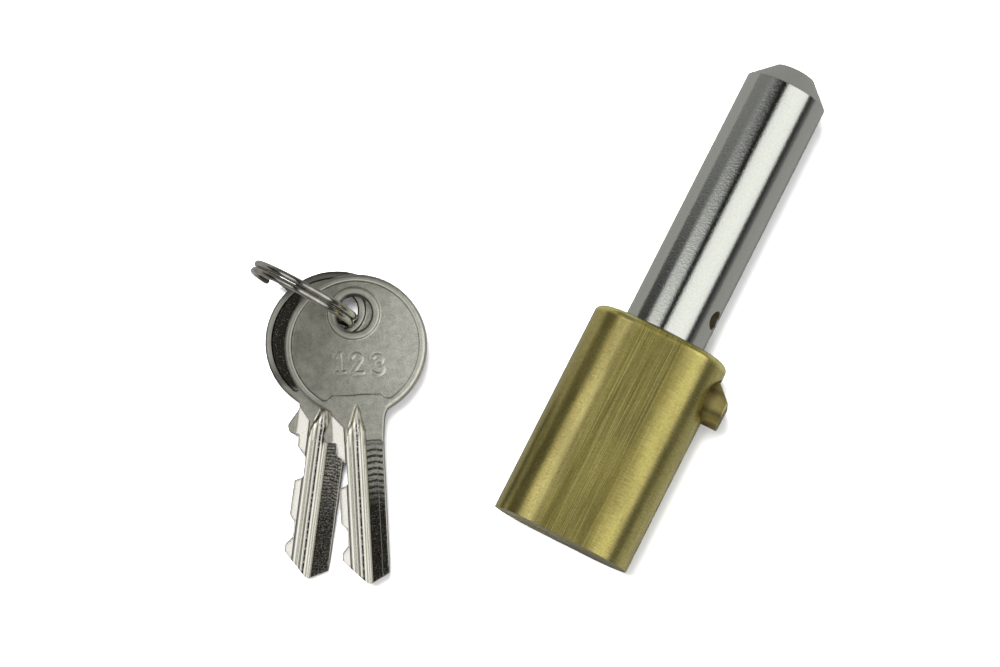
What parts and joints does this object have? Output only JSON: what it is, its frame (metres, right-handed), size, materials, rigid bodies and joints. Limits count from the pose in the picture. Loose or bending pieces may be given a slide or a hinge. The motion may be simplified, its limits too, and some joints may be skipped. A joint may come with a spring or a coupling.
{
  "type": "key-operated pin lock",
  "caption": "Oval brass lock body with a long plated locking pin, a bevelled spring latch in its side and a key cylinder in its end, beside two flat keys on a split ring.",
  "frame": {"origin": "on the locking pin's axis, at the shoulder face where the pin leaves the lock body", "axes": "+Y along the locking pin towards its tip, +X out of the side that carries the latch, +Z square to the broad faces, up as the lock lies flat"},
  "size_m": [0.0817, 0.1126, 0.0196],
  "materials": {
    "body_brass": "satin, brushed lengthwise",
    "plug_brass": "fine turned brass",
    "latch_brass": "polished brass",
    "tumbler_brass": "turned brass",
    "pin_plate": "bright plating over steel with a fine grain",
    "ring_plate": "polished wire",
    "dowel_steel": "ground steel",
    "spring_steel": "drawn spring wire",
    "key_nickel": "satin nickel plate, bright where cut"
  },
  "bodies": {
    "lock_body": {"lock_body": "body_brass", "pin_retaining_dowel": "dowel_steel", "plug_retaining_dowel": "dowel_steel", "latch_spring": "spring_steel", "pin_spring_1": "spring_steel", "pin_spring_2": "spring_steel", "pin_spring_3": "spring_steel", "pin_spring_4": "spring_steel", "pin_spring_5": "spring_steel", "chamber_plugs": "plug_brass"},
    "plug": {"plug": "plug_brass", "drive_pin": "dowel_steel"},
    "locking_pin": {"locking_pin": "pin_plate"},
    "latch_bolt": {"latch_bolt": "latch_brass"},
    "key_pin_1": {"key_pin_1": "tumbler_brass"},
    "key_pin_2": {"key_pin_2": "tumbler_brass"},
    "key_pin_3": {"key_pin_3": "tumbler_brass"},
    "key_pin_4": {"key_pin_4": "tumbler_brass"},
    "key_pin_5": {"key_pin_5": "tumbler_brass"},
    "driver_pin_1": {"driver_pin_1": "tumbler_brass"},
    "driver_pin_2": {"driver_pin_2": "tumbler_brass"},
    "driver_pin_3": {"driver_pin_3": "tumbler_brass"},
    "driver_pin_4": {"driver_pin_4": "tumbler_brass"},
    "driver_pin_5": {"driver_pin_5": "tumbler_brass"},
    "split_ring": {"split_ring": "ring_plate"},
    "key_front": {"key_front": "key_nickel"},
    "key_back": {"key_back": "key_nickel"}
  },
  "joints": [
    {"name": "plug_turn", "type": "hinge", "parent": "lock_body", "child": "plug", "pos_m": [-0.0042, -0.025, 0], "axis": [0, 1, 0], "range_deg": [0, 90]},
    {"name": "latch_slide", "type": "slide", "parent": "lock_body", "child": "latch_bolt", "axis": [1, 0, 0], "range_m": [-0.0033, 0], "deforming": ["latch_spring"]},
    {"name": "pin_spin", "type": "hinge", "parent": "lock_body", "child": "locking_pin", "pos_m": [0, 0, 0], "axis": [0, 1, 0], "continuous": true},
    {"name": "key_pin_1_drop", "type": "slide", "parent": "plug", "child": "key_pin_1", "axis": [1, 0, 0], "range_m": [-0.00143, 0]},
    {"name": "key_pin_2_drop", "type": "slide", "parent": "plug", "child": "key_pin_2", "axis": [1, 0, 0], "range_m": [-0.00283, 0]},
    {"name": "key_pin_3_drop", "type": "slide", "parent": "plug", "child": "key_pin_3", "axis": [1, 0, 0], "range_m": [-0.00287, 0]},
    {"name": "key_pin_4_drop", "type": "slide", "parent": "plug", "child": "key_pin_4", "axis": [1, 0, 0], "range_m": [-0.00189, 0]},
    {"name": "key_pin_5_drop", "type": "slide", "parent": "plug", "child": "key_pin_5", "axis": [1, 0, 0], "range_m": [-0.00295, 0]},
    {"name": "driver_1_lift", "type": "slide", "parent": "lock_body", "child": "driver_pin_1", "axis": [1, 0, 0], "range_m": [0, 0.0012], "deforming": ["pin_spring_1"]},
    {"name": "driver_2_lift", "type": "slide", "parent": "lock_body", "child": "driver_pin_2", "axis": [1, 0, 0], "range_m": [0, 0.0012], "deforming": ["pin_spring_2"]},
    {"name": "driver_3_lift", "type": "slide", "parent": "lock_body", "child": "driver_pin_3", "axis": [1, 0, 0], "range_m": [0, 0.0012], "deforming": ["pin_spring_3"]},
    {"name": "driver_4_lift", "type": "slide", "parent": "lock_body", "child": "driver_pin_4", "axis": [1, 0, 0], "range_m": [0, 0.0012], "deforming": ["pin_spring_4"]},
    {"name": "driver_5_lift", "type": "slide", "parent": "lock_body", "child": "driver_pin_5", "axis": [1, 0, 0], "range_m": [0, 0.0012], "deforming": ["pin_spring_5"]},
    {"name": "keyring_lift", "type": "slide", "parent": "lock_body", "child": "split_ring", "axis": [0, 0, 1], "range_m": [0, 0.06]},
    {"name": "key_front_swing", "type": "hinge", "parent": "split_ring", "child": "key_front", "pos_m": [-0.04854, -0.01946, -0.00237], "axis": [0.0206, -0.0443, 0.9988], "range_deg": [-45, 20]},
    {"name": "key_back_swing", "type": "hinge", "parent": "split_ring", "child": "key_back", "pos_m": [-0.05135, -0.0198, -0.00468], "axis": [0.0206, -0.0443, 0.9988], "range_deg": [-8, 25]}
  ],
  "couplings": [
    {"joint": "latch_slide", "follows": "plug_turn", "m_per_rad": -0.002069},
    {"joint": "key_pin_2_drop", "follows": "key_pin_1_drop", "ratio": 1.979},
    {"joint": "key_pin_3_drop", "follows": "key_pin_1_drop", "ratio": 2.007},
    {"joint": "key_pin_4_drop", "follows": "key_pin_1_drop", "ratio": 1.3217},
    {"joint": "key_pin_5_drop", "follows": "key_pin_1_drop", "ratio": 2.0629},
    {"joint": "driver_2_lift", "follows": "driver_1_lift", "ratio": 1},
    {"joint": "driver_3_lift", "follows": "driver_1_lift", "ratio": 1},
    {"joint": "driver_4_lift", "follows": "driver_1_lift", "ratio": 1},
    {"joint": "driver_5_lift", "follows": "driver_1_lift", "ratio": 1}
  ]
}
